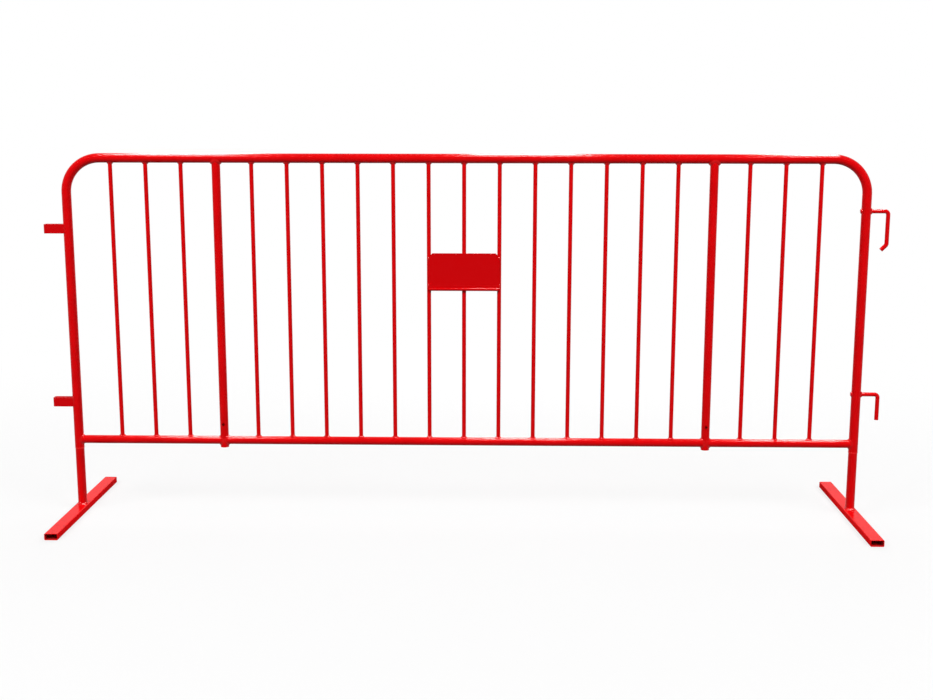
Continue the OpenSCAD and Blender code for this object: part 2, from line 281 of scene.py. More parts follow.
class BarrierFinish(PropertyGroup):
    """Colours and surface of the barrier's materials"""

    paint: colour("Paint", "Red powder coat", (0.630, 0.0009, 0.0022))
    paint_shade: colour("Paint shade", "Where the coat lies thicker", (0.530, 0.0005, 0.0014))
    # The plate and the straps take a darker copy of the panel's red: painted shade on the flat pieces
    shaded_flat_paint: colour("Flat paint", "The coat on the plate and the straps", (0.530, 0.0007, 0.0020))
    weld_paint: colour("Weld paint", "The coat over welds", (0.610, 0.0012, 0.0024))
    # The feet's red is a lighter copy of the panel's red: painted light on the feet
    lit_foot_paint: colour("Foot paint", "The feet's brighter coat", (0.760, 0.0030, 0.0045))
    # Lighter red on the shoulder rings: wear where the post rubs, and a painted highlight along the
    # shoulder
    rubbed_highlight_paint: colour("Rubbed paint", "Where a post turns on a shoulder", (0.860, 0.0120, 0.0130))
    gloss_tint: colour("Gloss tint", "Tint of the coat's face-on reflection", (1.0, 0.28, 0.28))
    weld_tint: colour("Weld tint", "Tint of the beads' face-on reflection", (1.0, 0.30, 0.30))
    bore_steel: colour("Bore steel", "Bare tube inside", (0.340, 0.014, 0.014))
    bore_overspray: colour("Bore overspray", "Thin coat inside the open ends", (0.720, 0.006, 0.008))
    zinc: colour("Zinc", "Zinc plate of the screws", (0.56, 0.57, 0.60))
    zinc_shade: colour("Zinc shade", "Dull patches of the zinc plate", (0.36, 0.38, 0.42))
    tube_specular: share("Tube specular", "Strength of the reflection on the welded panel", 0.11)
    foot_polish: share("Foot polish", "Gloss on the feet's upper faces, rubbed by boots", 0.35)
    foot_dull: share("Foot side gloss", "Gloss on the feet's dull sides", 0.02)
    bore_specular: share("Bore specular", "Strength of the reflection inside the tubes", 0.035)
    weld_specular: share("Weld specular", "Strength of the reflection on the beads", 0.32)
    smooth_low: share("Smooth roughness", "Roughness where the coat flowed out", 0.08)
    smooth_high: share("Peel roughness", "Roughness where the coat is uneven", 0.16)
    peel_size: share("Peel size", "Ripples of the coat in a metre", 420.0, 2000.0)
    peel_depth: length("Peel depth", "Depth of the coat's ripples", 0.00003)


class BarrierStage(PropertyGroup):
    """Floor, light and camera"""

    floor: colour("Floor", "Colour of the pale floor", (0.16, 0.16, 0.16))
    floor_lift: share("Floor lift", "White that is added to the floor where it is seen", 0.748)
    sky: share("Sky", "Strength of the light from all round", 0.12)
    key_power: share("Key power", "Front left soft box, in watts", 368.0, 5000.0)
    fill_power: share("Fill power", "Front right soft box, in watts", 352.0, 5000.0)
    back_power: share("Back power", "Soft box behind, in watts", 270.0, 5000.0)
    panel_glow: share("Panel glow", "Of the ceiling panels, in watts from a square metre", 240.0, 900.0)
    lens: FloatProperty(
        name="Lens", description="Focal length", default=50.386, subtype="DISTANCE_CAMERA", unit="CAMERA"
    )
    camera: FloatVectorProperty(
        name="Camera",
        description="Place of the camera",
        default=(0.0925, -3.9473, 1.2374),
        subtype="XYZ_LENGTH",
        unit="LENGTH",
    )
    yaw: angle("Yaw", "Turn of the camera to its left", 1.232)
    pitch: angle("Pitch", "Tilt of the camera down", 10.324)
    roll: angle("Roll", "Roll of the camera", 0.062)


class Layout:
    """Places worked out from the sizes, in metres"""

    def __init__(self, sizes):
        self.frame_r = sizes.frame_diameter / 2
        self.rail_r = sizes.rail_diameter / 2
        self.bar_r = sizes.bar_diameter / 2
        self.leg_r = self.frame_r - sizes.leg_inset
        self.stub_r = self.frame_r - sizes.frame_wall - sizes.leg_gap
        self.top_z = sizes.panel_height - self.frame_r
        self.shoulder_z = sizes.post_end - sizes.rim_gap
        self.reach_x = sizes.post_x + self.frame_r + sizes.reach
        steps = round((sizes.post_x - sizes.bar_pitch) / sizes.bar_pitch)
        skipped = round(sizes.receiver_x / sizes.bar_pitch)
        self.bar_places = [
            step * sizes.bar_pitch for step in range(-steps, steps + 1) if abs(step) != skipped
        ]


def plan(context):
    """The sizes, and the places that follow from them."""
    sizes = context.scene.barrier_sizes
    return sizes, Layout(sizes)


# Meshes


class Shell:
    """Points and faces of one piece, gathered ring by ring"""

    def __init__(self):
        self.points = []
        self.faces = []
        self.finishes = []

    def face(self, corners, finish=PAINT):
        self.faces.append(tuple(corners))
        self.finishes.append(finish)

    def skin(self, rings, finishes=None, closed=False):
        """Joins rings of equal count in turn; closed joins the last to the first as well."""
        made = []
        for ring in rings:
            made.append(range(len(self.points), len(self.points) + len(ring)))
            self.points += ring
        for i in range(len(made) if closed else len(made) - 1):
            near, far = made[i], made[(i + 1) % len(made)]
            for a in range(len(near)):
                b = (a + 1) % len(near)
                self.face((near[a], near[b], far[b], far[a]), finishes[i] if finishes else PAINT)
        return self

    def capped(self, rings):
        """Joins rings in turn and closes both ends."""
        first = len(self.points)
        self.skin(rings)
        self.face(reversed(range(first, first + len(rings[0]))))
        self.face(range(len(self.points) - len(rings[-1]), len(self.points)))
        return self


def shell_mesh(shell, name):
    """Makes a shell into a mesh whose faces look outwards."""
    mesh = bpy.data.meshes.new(name)
    mesh.from_pydata([tuple(point) for point in shell.points], [], shell.faces)
    mesh.polygons.foreach_set("material_index", shell.finishes)
    work = bmesh.new()
    work.from_mesh(mesh)
    bmesh.ops.recalc_face_normals(work, faces=work.faces)
    work.to_mesh(mesh)
    work.free()
    return mesh


def add_object(name, data):
    """Puts a mesh, a lamp or a camera into the scene."""
    made = bpy.data.objects.new(name, data)
    bpy.context.scene.collection.objects.link(made)
    return made


def make_piece(shell, name, body, finishes, stands_for="", sharp=SHARP_EDGE):
    """Makes a shell into an object that rides on a body and may stand for a CAD node."""
    mesh = shell_mesh(shell, name)
    for finish in finishes:
        mesh.materials.append(material(finish))
    piece = add_object(name, mesh)
    smooth(piece, sharp)
    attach(piece, body)
    if stands_for:
        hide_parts(stands_for)
    return piece


def apply_modifiers(piece):
    """Replaces a piece's mesh by what its modifiers make of it."""
    graph = bpy.context.evaluated_depsgraph_get()
    made = bpy.data.meshes.new_from_object(piece.evaluated_get(graph))
    old = piece.data
    piece.modifiers.clear()
    piece.data = made
    bpy.data.meshes.remove(old)
    made.name = piece.name


def smooth(piece, sharp=SHARP_EDGE):
    """Smooth shading that breaks at sharp edges and keeps a flat face flat beside its roundings."""
    piece.data.shade_smooth()
    piece.data.set_sharp_from_angle(angle=sharp)
    piece.modifiers.new("flat_faces", "WEIGHTED_NORMAL").keep_sharp = True
    apply_modifiers(piece)


def cut(piece, shell):
    """Takes the shape of a shell out of a piece."""
    mesh = shell_mesh(shell, "cutter")
    cutter = add_object("cutter", mesh)
    hole = piece.modifiers.new("hole", "BOOLEAN")
    hole.operation = "DIFFERENCE"
    hole.solver = "EXACT"
    hole.object = cutter
    apply_modifiers(piece)
    smooth(piece)
    bpy.data.objects.remove(cutter)
    bpy.data.meshes.remove(mesh)


def turns(count):
    """Even angles round a full circle."""
    return [2 * pi * i / count for i in range(count)]


def circle(centre, u, v, radius, sides):
    """Points of a circle in the plane of two directions."""
    return [centre + (u * cos(turn) + v * sin(turn)) * radius for turn in turns(sides)]


def rod(shell, start, end, radius):
    """A level rod that cuts a hole; half a step's turn keeps its corners off the tube's own edges."""
    way = (end - start).normalized()
    half_step = pi / TUBE_SIDES
    u = way.cross(Z) * cos(half_step) + Z * sin(half_step)
    return shell.capped([circle(place, u, way.cross(u), radius, TUBE_SIDES) for place in (start, end)])


def edge_profile(edge):
    """Pairs of how far in and how far back a rounded edge lies, from the end face to the side."""
    quarter = [QUARTER * i / EDGE_STEPS for i in range(EDGE_STEPS + 1)]
    return [(edge * (1 - sin(a)), edge * (1 - cos(a))) for a in quarter]


def rounded_rectangle(width, height, corner, steps=CORNER_STEPS):
    """Outline points of a rectangle with round corners, about its middle."""
    points = []
    for index, (sx, sy) in enumerate(((1, 1), (-1, 1), (-1, -1), (1, -1))):
        for i in range(steps + 1):
            turn = QUARTER * (index + i / steps)
            x = sx * (width / 2 - corner) + corner * cos(turn)
            y = sy * (height / 2 - corner) + corner * sin(turn)
            points.append((x, y))
    return points


def bend(centre, start, onward, radius, turn, steps):
    """Stations round a bend, each a place and the direction of travel.

    It begins in the direction start from its centre and travels onward, which is square to it."""
    stations = []
    for i in range(steps + 1):
        a = turn * i / steps
        out = start * cos(a) + onward * sin(a)
        stations.append((centre + out * radius, onward * cos(a) - start * sin(a)))
    return stations


def tube_rings(stations, radius, edge, sides, flare=-1):
    """Circles along stations in the panel's plane; the ends are rounded in, or out where flare is 1."""

    def ring(place, way, r):
        return circle(place, Y, way.cross(Y), r, sides)

    (first, first_way), (last, last_way) = stations[0], stations[-1]
    edges = edge_profile(edge)
    start = [ring(first + first_way * back, first_way, radius + flare * inset) for inset, back in edges]
    end = [ring(last - last_way * back, last_way, radius + flare * inset) for inset, back in edges]
    return [*start, *(ring(place, way, radius) for place, way in stations[1:-1]), *end[::-1]]


def saddle(radius, lateral):
    """How far a tube's surface lies from its middle line at a distance to one side."""
    return sqrt(max(radius * radius - lateral * lateral, 0.0))


def coped_ring(origin, way, side, radius, at, cope, sides):
    """A tube's end shaped round a crossing tube of radius cope, or flat where cope is zero."""
    points = []
    for turn in turns(sides):
        lateral = radius * sin(turn)
        along = at + copysign(saddle(cope, lateral), cope)
        points.append(origin + way * along + side * radius * cos(turn) + Y * lateral)
    return points


def coped_tube(origin, way, side, radius, wall, span, copes, sides=TUBE_SIDES, rim=0.0, marks=()):
    """A tube between two crossing tubes; a first cope of zero leaves an open, rounded end.

    Marks are places along it that get a ring of points, on both sides of a hole."""
    (start, end), (near, far) = span, copes
    inner = radius - wall
    middle = [start + near + 2 * radius, *marks, end - far - 2 * radius]
    if near:
        outer_end = [(radius, start, near - SINK)]
        bore_end = [(inner, start, near - SINK)]
    else:
        edges = edge_profile(rim)
        outer_end = [(radius - inset, start + back, 0.0) for inset, back in edges]
        bore_end = [(inner + inset, start + back, 0.0) for inset, back in edges[::-1]]
    outside = [*outer_end, *((radius, at, 0.0) for at in middle), (radius, end, SINK - far)]
    bore = [(inner, end, SINK - far), *((inner, at, 0.0) for at in middle[::-1])]
    finishes = [PAINT] * len(outside) + [BORE] * len(bore) + [PAINT] * len(bore_end)
    rings = [coped_ring(origin, way, side, *step, sides) for step in outside + bore + bore_end]
    return Shell().skin(rings, finishes, closed=True)


# Welds


def ripple(turn, seed, count):
    """Uneven swell of a weld round a tube."""
    fine = FINE_RIPPLE * sin(count * turn + seed)
    return 1 + fine + SLOW_RIPPLE * sin(2 * turn + SLOW_SHIFT * seed)


def fillet_section(toe_a, toe_b, root, crown):
    """Closed section of a weld from one toe to the other, with its root buried."""
    middle = (toe_a + toe_b) / 2
    out = (middle - root).normalized()
    top = middle + out * crown * (toe_a - toe_b).length
    points = []
    for i in range(FILLET_STEPS + 1):
        t = i / FILLET_STEPS
        points.append(toe_a * (1 - t) ** 2 + top * 2 * t * (1 - t) + toe_b * t ** 2 - out * SINK)
    points.append(root - out * SINK * 2)
    return points


def saddle_weld(shell, origin, branch, main, radius, main_radius, leg, seed):
    """A weld round a tube that meets a larger one square on; origin lies on that one's middle line."""
    side = branch.cross(main)

    def on_main(along, at):
        return origin + main * along + side * main_radius * sin(at) + branch * main_radius * cos(at)

    def on_branch(at, up):
        return origin + main * radius * cos(at) + side * radius * sin(at) + branch * up

    rings = []
    for turn in turns(WELD_STEPS):
        run = leg * ripple(turn, seed, TUBE_RIPPLES)
        lean = asin(min(radius * sin(turn) / main_radius, 1.0))
        across = Vector((cos(turn), sin(turn) * cos(lean))).normalized() * run
        climb = Vector((cos(lean), sin(lean) * cos(turn))).normalized() * run
        root = on_main(radius * cos(turn), lean)
        toe_main = on_main(radius * cos(turn) + across.x, lean + across.y / main_radius)
        toe_branch = on_branch(turn + climb.y / radius, main_radius * cos(lean) + climb.x)
        rings.append(fillet_section(toe_branch, toe_main, root, TUBE_CROWN))
    shell.skin(rings, closed=True)


def foot_weld(shell, centre, radius, leg, room, seed):
    """A weld round a leg on its flat foot; room is how far it may spread across the foot."""
    rings = []
    for turn in turns(WELD_STEPS):
        out = X * cos(turn) + Y * sin(turn)
        rise = leg * ripple(turn, seed, LEG_RIPPLES)
        run = rise * (1 - (1 - room / leg) * cos(turn) ** 2)
        root = centre + out * radius
        rings.append(fillet_section(root + Z * rise, root + out * run, root, LEG_CROWN))
    shell.skin(rings, closed=True)


def bead(shell, places, radius, seed):
    """A rippled bead along a run of places, with eased corners and rounded ends."""
    line = []
    for a, b in zip(places, places[1:]):
        count = max(1, round((b - a).length / BEAD_STEP))
        line += [a.lerp(b, i / count) for i in range(count)]
    line.append(places[-1])
    for _ in range(BEAD_EASING):
        eased = [(a + b * 2 + c) / 4 for a, b, c in zip(line, line[1:], line[2:])]
        line = [line[0], *eased, line[-1]]
    last = len(line) - 1
    rings = []
    u = (line[1] - line[0]).orthogonal()
    for i, place in enumerate(line):
        way = (line[min(i + 1, last)] - line[max(i - 1, 0)]).normalized()
        u = (u - way * u.dot(way)).normalized()
        along = BEAD_STEP * i
        from_end = min(along, BEAD_STEP * last - along)
        round_off = sqrt(max(1 - (1 - min(from_end / radius, 1)) ** 2, BEAD_TIP))
        swell = round_off * (1 + BEAD_RIPPLE * sin(along / BEAD_PITCH * 2 * pi + seed))
        rings.append(circle(place, u, way.cross(u), radius * swell, BEAD_SIDES))
    shell.capped(rings)


# Materials


def feed(tree, socket, value):
    """Links a socket to another one, or sets its own number or colour."""
    if isinstance(value, NodeSocket):
        tree.links.new(value, socket)
    elif socket.type == "RGBA":
        socket.default_value = (*value, 1.0)
    else:
        socket.default_value = value


def add_node(tree, kind, inputs=None, **values):
    """A node with its own values set and its inputs fed, by name or by number."""
    made = tree.nodes.new(kind)
    for key, value in values.items():
        setattr(made, key, value)
    for key, value in (inputs or {}).items():
        feed(tree, made.inputs[key], value)
    return made


def empty_tree(owner):
    """The node tree of a material or a world, with nothing in it."""
    owner.use_nodes = True
    owner.node_tree.nodes.clear()
    return owner.node_tree


def calculate(tree, operation, *values):
    """A number worked out from others."""
    return add_node(tree, "ShaderNodeMath", dict(enumerate(values)), operation=operation).outputs["Value"]


def noise(tree, place, scale, detail, roughness=0.5):
    """A noise texture at the given place."""
    inputs = {"Vector": place, "Scale": scale, "Detail": detail, "Roughness": roughness}
    return add_node(tree, "ShaderNodeTexNoise", inputs).outputs["Fac"]


def map_range(tree, value, limits, low, high, kind="LINEAR"):
    """Spreads what lies between two limits from low to high."""
    inputs = {"Value": value, "From Min": limits[0], "From Max": limits[1], "To Min": low, "To Max": high}
    return add_node(tree, "ShaderNodeMapRange", inputs, interpolation_type=kind).outputs["Result"]


def mix_colours(tree, factor, a, b):
    """Mixes two colours."""
    made = add_node(tree, "ShaderNodeMix", {"Factor": factor}, data_type="RGBA")
    colours = [socket for socket in made.inputs if socket.type == "RGBA"]
    for socket, value in zip(colours, (a, b)):
        feed(tree, socket, value)
    return next(socket for socket in made.outputs if socket.type == "RGBA")


def mix_shaders(tree, factor, a, b):
    """Mixes two shaders."""
    return add_node(tree, "ShaderNodeMixShader", {"Fac": factor, 1: a, 2: b}).outputs["Shader"]


def seen_rays(tree):
    """One for rays that see the backdrop, straight or in gloss or glass, and zero for the rest."""
    path = add_node(tree, "ShaderNodeLightPath").outputs
    seen = path[SEEN[0]]
    for kind in SEEN[1:]:
        seen = calculate(tree, "MAXIMUM", seen, path[kind])
    return seen


def coat_group():
    """Surface of a coat: its tone, its roughness and the height of its orange peel."""
    found = bpy.data.node_groups.get(COAT_GROUP)
    if found:
        return found
    group = bpy.data.node_groups.new(COAT_GROUP, "ShaderNodeTree")
    group.interface.new_socket("Place", in_out="INPUT", socket_type="NodeSocketVector")
    for name in ("Peel Scale", "Tone Scale", "Tone Low", "Smooth", "Rough"):
        group.interface.new_socket(name, in_out="INPUT", socket_type="NodeSocketFloat")
    for name in ("Tone", "Roughness", "Height"):
        group.interface.new_socket(name, in_out="OUTPUT", socket_type="NodeSocketFloat")
    entry = add_node(group, "NodeGroupInput").outputs
    peel = noise(group, entry["Place"], entry["Peel Scale"], PEEL_DETAIL)
    flow = noise(group, entry["Place"], FLOW_SCALE, FLOW_DETAIL)
    tone = noise(group, entry["Place"], entry["Tone Scale"], TONE_DETAIL, TONE_ROUGHNESS)
    results = {
        "Tone": map_range(group, tone, TONE_RANGE, entry["Tone Low"], 1.0),
        "Roughness": map_range(group, flow, FLOW_RANGE, entry["Smooth"], entry["Rough"]),
        "Height": calculate(group, "MULTIPLY_ADD", flow, FLOW_SHARE, peel),
    }
    add_node(group, "NodeGroupOutput", results)
    return group


class Coat(NamedTuple):
    """What sets one material apart.

    Tone is patches in a metre; peel and depth are shares of the finish's peel size and depth."""

    bright: tuple
    shade: tuple
    rough: tuple
    tone: float
    tone_low: float = 0.0
    peel: float = 1.0
    depth: float = 1.0
    specular: float = 0.5
    tint: tuple = WHITE
    metallic: float = 0.0
    polished: bool = False


def coats(finish):
    """The coats by the names of their materials."""
    red = {"shade": finish.paint_shade, "rough": (finish.smooth_low, finish.smooth_high)}
    tube = {**red, "specular": finish.tube_specular, "tint": finish.gloss_tint}
    weld = {**red, "specular": finish.weld_specular, "tint": finish.weld_tint}
    foot = {**red, "specular": 0.0, "tint": finish.gloss_tint, "polished": True}
    bore = {"shade": finish.bore_steel, "rough": (0.45, 0.70), "specular": finish.bore_specular}
    zinc = {"shade": finish.zinc_shade, "rough": (0.24, 0.42), "peel": ZINC_GRAIN / finish.peel_size}
    return {
        "red_tube_coat": Coat(finish.paint, tone=14.0, tone_low=0.25, **tube),
        # The plate's and the straps' coat uses that darker copy of the red: painted shade
        "red_flat_coat": Coat(finish.shaded_flat_paint, tone=22.0, tone_low=0.35, peel=0.7, depth=0.8, **tube),
        # The feet's coat uses that lighter copy of the red: painted light
        "red_foot_coat": Coat(finish.lit_foot_paint, tone=30.0, tone_low=0.6, peel=0.8, depth=1.2, **foot),
        # The shoulder rings' coat: lighter, glossier red that is partly rubbed wear and partly a painted
        # highlight
        "red_rubbed_coat": Coat(finish.rubbed_highlight_paint, tone=120.0, tone_low=0.6, **weld),
        "red_weld_coat": Coat(finish.weld_paint, tone=60.0, peel=1.6, depth=2.0, **weld),
        "tube_bore": Coat(finish.bore_overspray, tone=40.0, depth=2.0, **bore),
        "bright_zinc": Coat(finish.zinc, tone=320.0, depth=0.5, metallic=1.0, **zinc),
    }


def material(name):
    """Makes a material the first time, and finds it after that."""
    found = bpy.data.materials.get(name)
    if found:
        return found
    finish = bpy.context.scene.barrier_finish
    coat = coats(finish)[name]
    made = bpy.data.materials.new(name)
    tree = empty_tree(made)
    place = add_node(tree, "ShaderNodeTexCoord").outputs
    grain = {
        "Place": place["Object"],
        "Peel Scale": finish.peel_size * coat.peel,
        "Tone Scale": coat.tone,
        "Tone Low": coat.tone_low,
        "Smooth": coat.rough[0],
        "Rough": coat.rough[1],
    }
    surface = add_node(tree, "ShaderNodeGroup", grain, node_tree=coat_group()).outputs
    relief = {"Height": surface["Height"], "Distance": finish.peel_depth * coat.depth, "Strength": 1.0}
    looks = {
        "Base Color": mix_colours(tree, surface["Tone"], coat.shade, coat.bright),
        "Roughness": surface["Roughness"],
        "Metallic": coat.metallic,
        "Specular IOR Level": coat.specular,
        "Specular Tint": coat.tint,
        "Normal": add_node(tree, "ShaderNodeBump", relief).outputs["Normal"],
    }
    if coat.polished:
        # Boots leave a gloss on upper faces, while the sides stay dull
        facing = add_node(tree, "ShaderNodeSeparateXYZ", {"Vector": place["Normal"]}).outputs["Z"]
        looks["Coat Weight"] = map_range(tree, facing, UPPER_FACES, finish.foot_dull, finish.foot_polish)
        looks["Coat Roughness"] = finish.smooth_high
    shader = add_node(tree, "ShaderNodeBsdfPrincipled", looks)
    add_node(tree, "ShaderNodeOutputMaterial", {"Surface": shader.outputs["BSDF"]})
    return made


# Operators, one for each piece or group of like pieces


class Build:
    """What all the operators share"""

    bl_options = {"REGISTER", "UNDO"}


class BARRIER_OT_frame_tube(Build, Operator):
    """Bends one tube into both posts and the top rail"""

    bl_idname = "barrier.frame_tube"
    bl_label = "Frame tube"

    def execute(self, context):
        sizes, layout = plan(context)
        radius, bend_r, wide = layout.frame_r, sizes.bend_radius, sizes.frame_diameter
        hooks = (sizes.lower_hook_height, sizes.upper_hook_height)
        marks = [z + shift for z in (sizes.screw_height, *hooks) for shift in (-radius, radius)]
        heights = [sizes.post_end, *marks]
        bend_x, bend_z = sizes.post_x - bend_r, layout.top_z - bend_r
        stations = [(Vector((-sizes.post_x, 0, z)), Z) for z in heights]
        for x, start, onward in ((-bend_x, -X, Z), (bend_x, Z, X)):
            stations += bend(Vector((x, 0, bend_z)), start, onward, bend_r, QUARTER, BEND_STEPS)
        stations += [(Vector((sizes.post_x, 0, z)), -Z) for z in heights[::-1]]
        outside = tube_rings(stations, radius, sizes.rim_edge, TUBE_SIDES)
        bore = tube_rings(stations, radius - sizes.frame_wall, sizes.rim_edge, TUBE_SIDES, flare=1)
        finishes = [PAINT] * len(outside) + [BORE] * (len(bore) - 1) + [PAINT]
        shell = Shell().skin(outside + bore[::-1], finishes, closed=True)
        piece = make_piece(shell, "frame_tube", "frame", TUBE, "top_frame")
        # Screw holes in the backs of the posts, and the hooks' way through the right one
        cutter = Shell()
        for _, side in SIDES:
            hole = Vector((side * sizes.post_x, 0, sizes.screw_height))
            rod(cutter, hole, hole + Y * wide, sizes.screw_hole_radius)
        for z in hooks:
            hole = Vector((sizes.post_x, 0, z))
            rod(cutter, hole - X * wide, hole + X * wide, sizes.hook_radius + SINK)
        cut(piece, cutter)
        return DONE


class BARRIER_OT_bottom_rails(Build, Operator):
    """Cuts the three lengths of bottom rail between the posts and the receivers"""

    bl_idname = "barrier.bottom_rails"
    bl_label = "Bottom rails"

    def execute(self, context):
        sizes, layout = plan(context)
        origin = Z * sizes.rail_height
        post, receiver = layout.frame_r, sizes.receiver_radius
        for name, span, copes in (
            ("left", (-sizes.post_x, -sizes.receiver_x), (post, receiver)),
            ("middle", (-sizes.receiver_x, sizes.receiver_x), (receiver, receiver)),
            ("right", (sizes.receiver_x, sizes.post_x), (receiver, post)),
        ):
            shell = coped_tube(origin, X, Z, layout.rail_r, sizes.tube_wall, span, copes)
            make_piece(shell, "rail_" + name, "frame", TUBE, "bottom_rail_" + name)
        return DONE


class BARRIER_OT_receivers(Build, Operator):
    """Makes the two open receiver tubes with their screw holes"""

    bl_idname = "barrier.receivers"
    bl_label = "Receiver tubes"

    def execute(self, context):
        sizes, layout = plan(context)
        radius, wall = sizes.receiver_radius, sizes.tube_wall
        span, copes = (sizes.receiver_end, layout.top_z), (0.0, layout.frame_r)
        marks = (sizes.screw_height - radius, sizes.screw_height + radius)
        for name, side in SIDES:
            origin = X * side * sizes.receiver_x
            shell = coped_tube(
                origin, Z, X, radius, wall, span, copes, rim=sizes.rim_edge, marks=marks
            )
            piece = make_piece(shell, "receiver_" + name, "frame", TUBE, name + "_receiver")
            hole = origin + Z * sizes.screw_height
            cut(piece, rod(Shell(), hole, hole - Y * 2 * radius, sizes.screw_hole_radius))
        return DONE


class BARRIER_OT_infill_bars(Build, Operator):
    """Makes the thin upright bars, shaped round the rails at both ends"""

    bl_idname = "barrier.infill_bars"
    bl_label = "Infill bars"

    def execute(self, context):
        sizes, layout = plan(context)
        radius, wall = layout.bar_r, sizes.tube_wall
        span, copes = (sizes.rail_height, layout.top_z), (layout.rail_r, layout.frame_r)
        for index, x in enumerate(layout.bar_places, 1):
            shell = coped_tube(X * x, Z, X, radius, wall, span, copes, BAR_SIDES)
            make_piece(shell, f"bar_{index:02d}", "frame", TUBE, f"infill_bar_{index:02d}")
        return DONE


class BARRIER_OT_sign_plate(Build, Operator):
    """Makes the sheet plate with cut corners and a rolled lower edge"""

    bl_idname = "barrier.sign_plate"
    bl_label = "Sign plate"

    def execute(self, context):
        sizes = context.scene.barrier_sizes
        half, corner, top = sizes.bar_pitch, sizes.plate_corner, sizes.plate_top
        sheet, roll_r = sizes.plate_thickness, sizes.roll_diameter / 2
        front_y = -sizes.plate_front
        back_y = front_y + sheet
        roll_z = top - sizes.plate_height + roll_r

        def section(x, upper):
            front, back = [], []
            for z in (upper, roll_z + corner, roll_z):
                front.append(Vector((x, front_y, z)))
                back.append(Vector((x, back_y, z)))
            centre = Vector((x, back_y - roll_r, roll_z))
            for i in range(1, ROLL_STEPS + 1):
                turn = ROLL_TURN * i / ROLL_STEPS
                way = Y * cos(turn) - Z * sin(turn)
                front.append(centre + way * (roll_r - sheet))
                back.append(centre + way * roll_r)
            return front + back[::-1]

        edges = ((-half, top - corner), (corner - half, top), (half - corner, top), (half, top - corner))
        shell = Shell().capped([section(x, upper) for x, upper in edges])
        piece = make_piece(shell, "plate", "frame", FLAT, "sign_plate")
        bevel = piece.modifiers.new("edges", "BEVEL")
        bevel.width = sizes.plate_edge
        bevel.segments = PLATE_EDGE_STEPS
        bevel.limit_method = "ANGLE"
        bevel.angle_limit = SHARP_EDGE
        apply_modifiers(piece)
        smooth(piece)
        return DONE


class BARRIER_OT_loops(Build, Operator):
    """Bends the two strap loops on the left post"""

    bl_idname = "barrier.loops"
    bl_label = "Loops"

    def execute(self, context):
        sizes, layout = plan(context)
        radius = sizes.loop_bend - sizes.strap_thickness / 2
        side_y = sizes.loop_width / 2 - sizes.strap_thickness / 2
        bend_x, bend_y = sizes.loop_bend - layout.reach_x, side_y - radius
        stations = [(Vector((-sizes.post_x, -side_y, 0)), -X)]
        for y, start, onward in ((-bend_y, -Y, -X), (bend_y, -X, Y)):
            stations += bend(Vector((bend_x, y, 0)), start, onward, radius, QUARTER, ROD_BEND_STEPS)
        stations.append((Vector((-sizes.post_x, side_y, 0)), X))
        strap = (sizes.strap_thickness, sizes.strap_height, sizes.strap_edge)
        outline = rounded_rectangle(*strap, STRAP_CORNER_STEPS)
        for name, z in (("upper", sizes.upper_loop_height), ("lower", sizes.lower_loop_height)):
            rings = []
            for place, way in stations:
                across = way.cross(Z)
                rings.append([place + across * x + Z * (z + y) for x, y in outline])
            for point in rings[0] + rings[-1]:
                point.x = -sizes.post_x - saddle(layout.frame_r - SINK, point.y)
            make_piece(Shell().capped(rings), name + "_strap_loop", "frame", FLAT, name + "_loop")
        return DONE


class BARRIER_OT_hooks(Build, Operator):
    """Bends the two rod hooks through the right post"""

    bl_idname = "barrier.hooks"
    bl_label = "Hooks"

    def execute(self, context):
        sizes, layout = plan(context)
        radius = sizes.hook_bend
        bend_x = layout.reach_x - sizes.hook_radius - radius
        start_x = sizes.post_x - layout.frame_r - sizes.hook_nub

        def arm(z):
            start = Vector((start_x, 0, z))
            corner = Vector((bend_x, 0, z - radius))
            return [(start, X), *bend(corner, Z, X, radius, QUARTER, ROD_BEND_STEPS)]

        upper = arm(sizes.upper_hook_height)
        tip_centre = Vector((bend_x, 0, sizes.upper_hook_height - sizes.upper_hook_drop))
        upper += bend(tip_centre, X, -Z, radius, sizes.tip_turn, ROD_BEND_STEPS)
        place, way = upper[-1]
        upper.append((place + way * sizes.tip_length, way))
        lower = arm(sizes.lower_hook_height)
        end_z = sizes.lower_hook_height - sizes.lower_hook_drop
        lower.append((Vector((bend_x + radius, 0, end_z)), -Z))
        for name, stations in (("upper", upper), ("lower", lower)):
            shell = Shell().capped(tube_rings(stations, sizes.hook_radius, sizes.hook_edge, BAR_SIDES))
            make_piece(shell, name + "_rod_hook", "frame", ROD, name + "_hook")
        return DONE


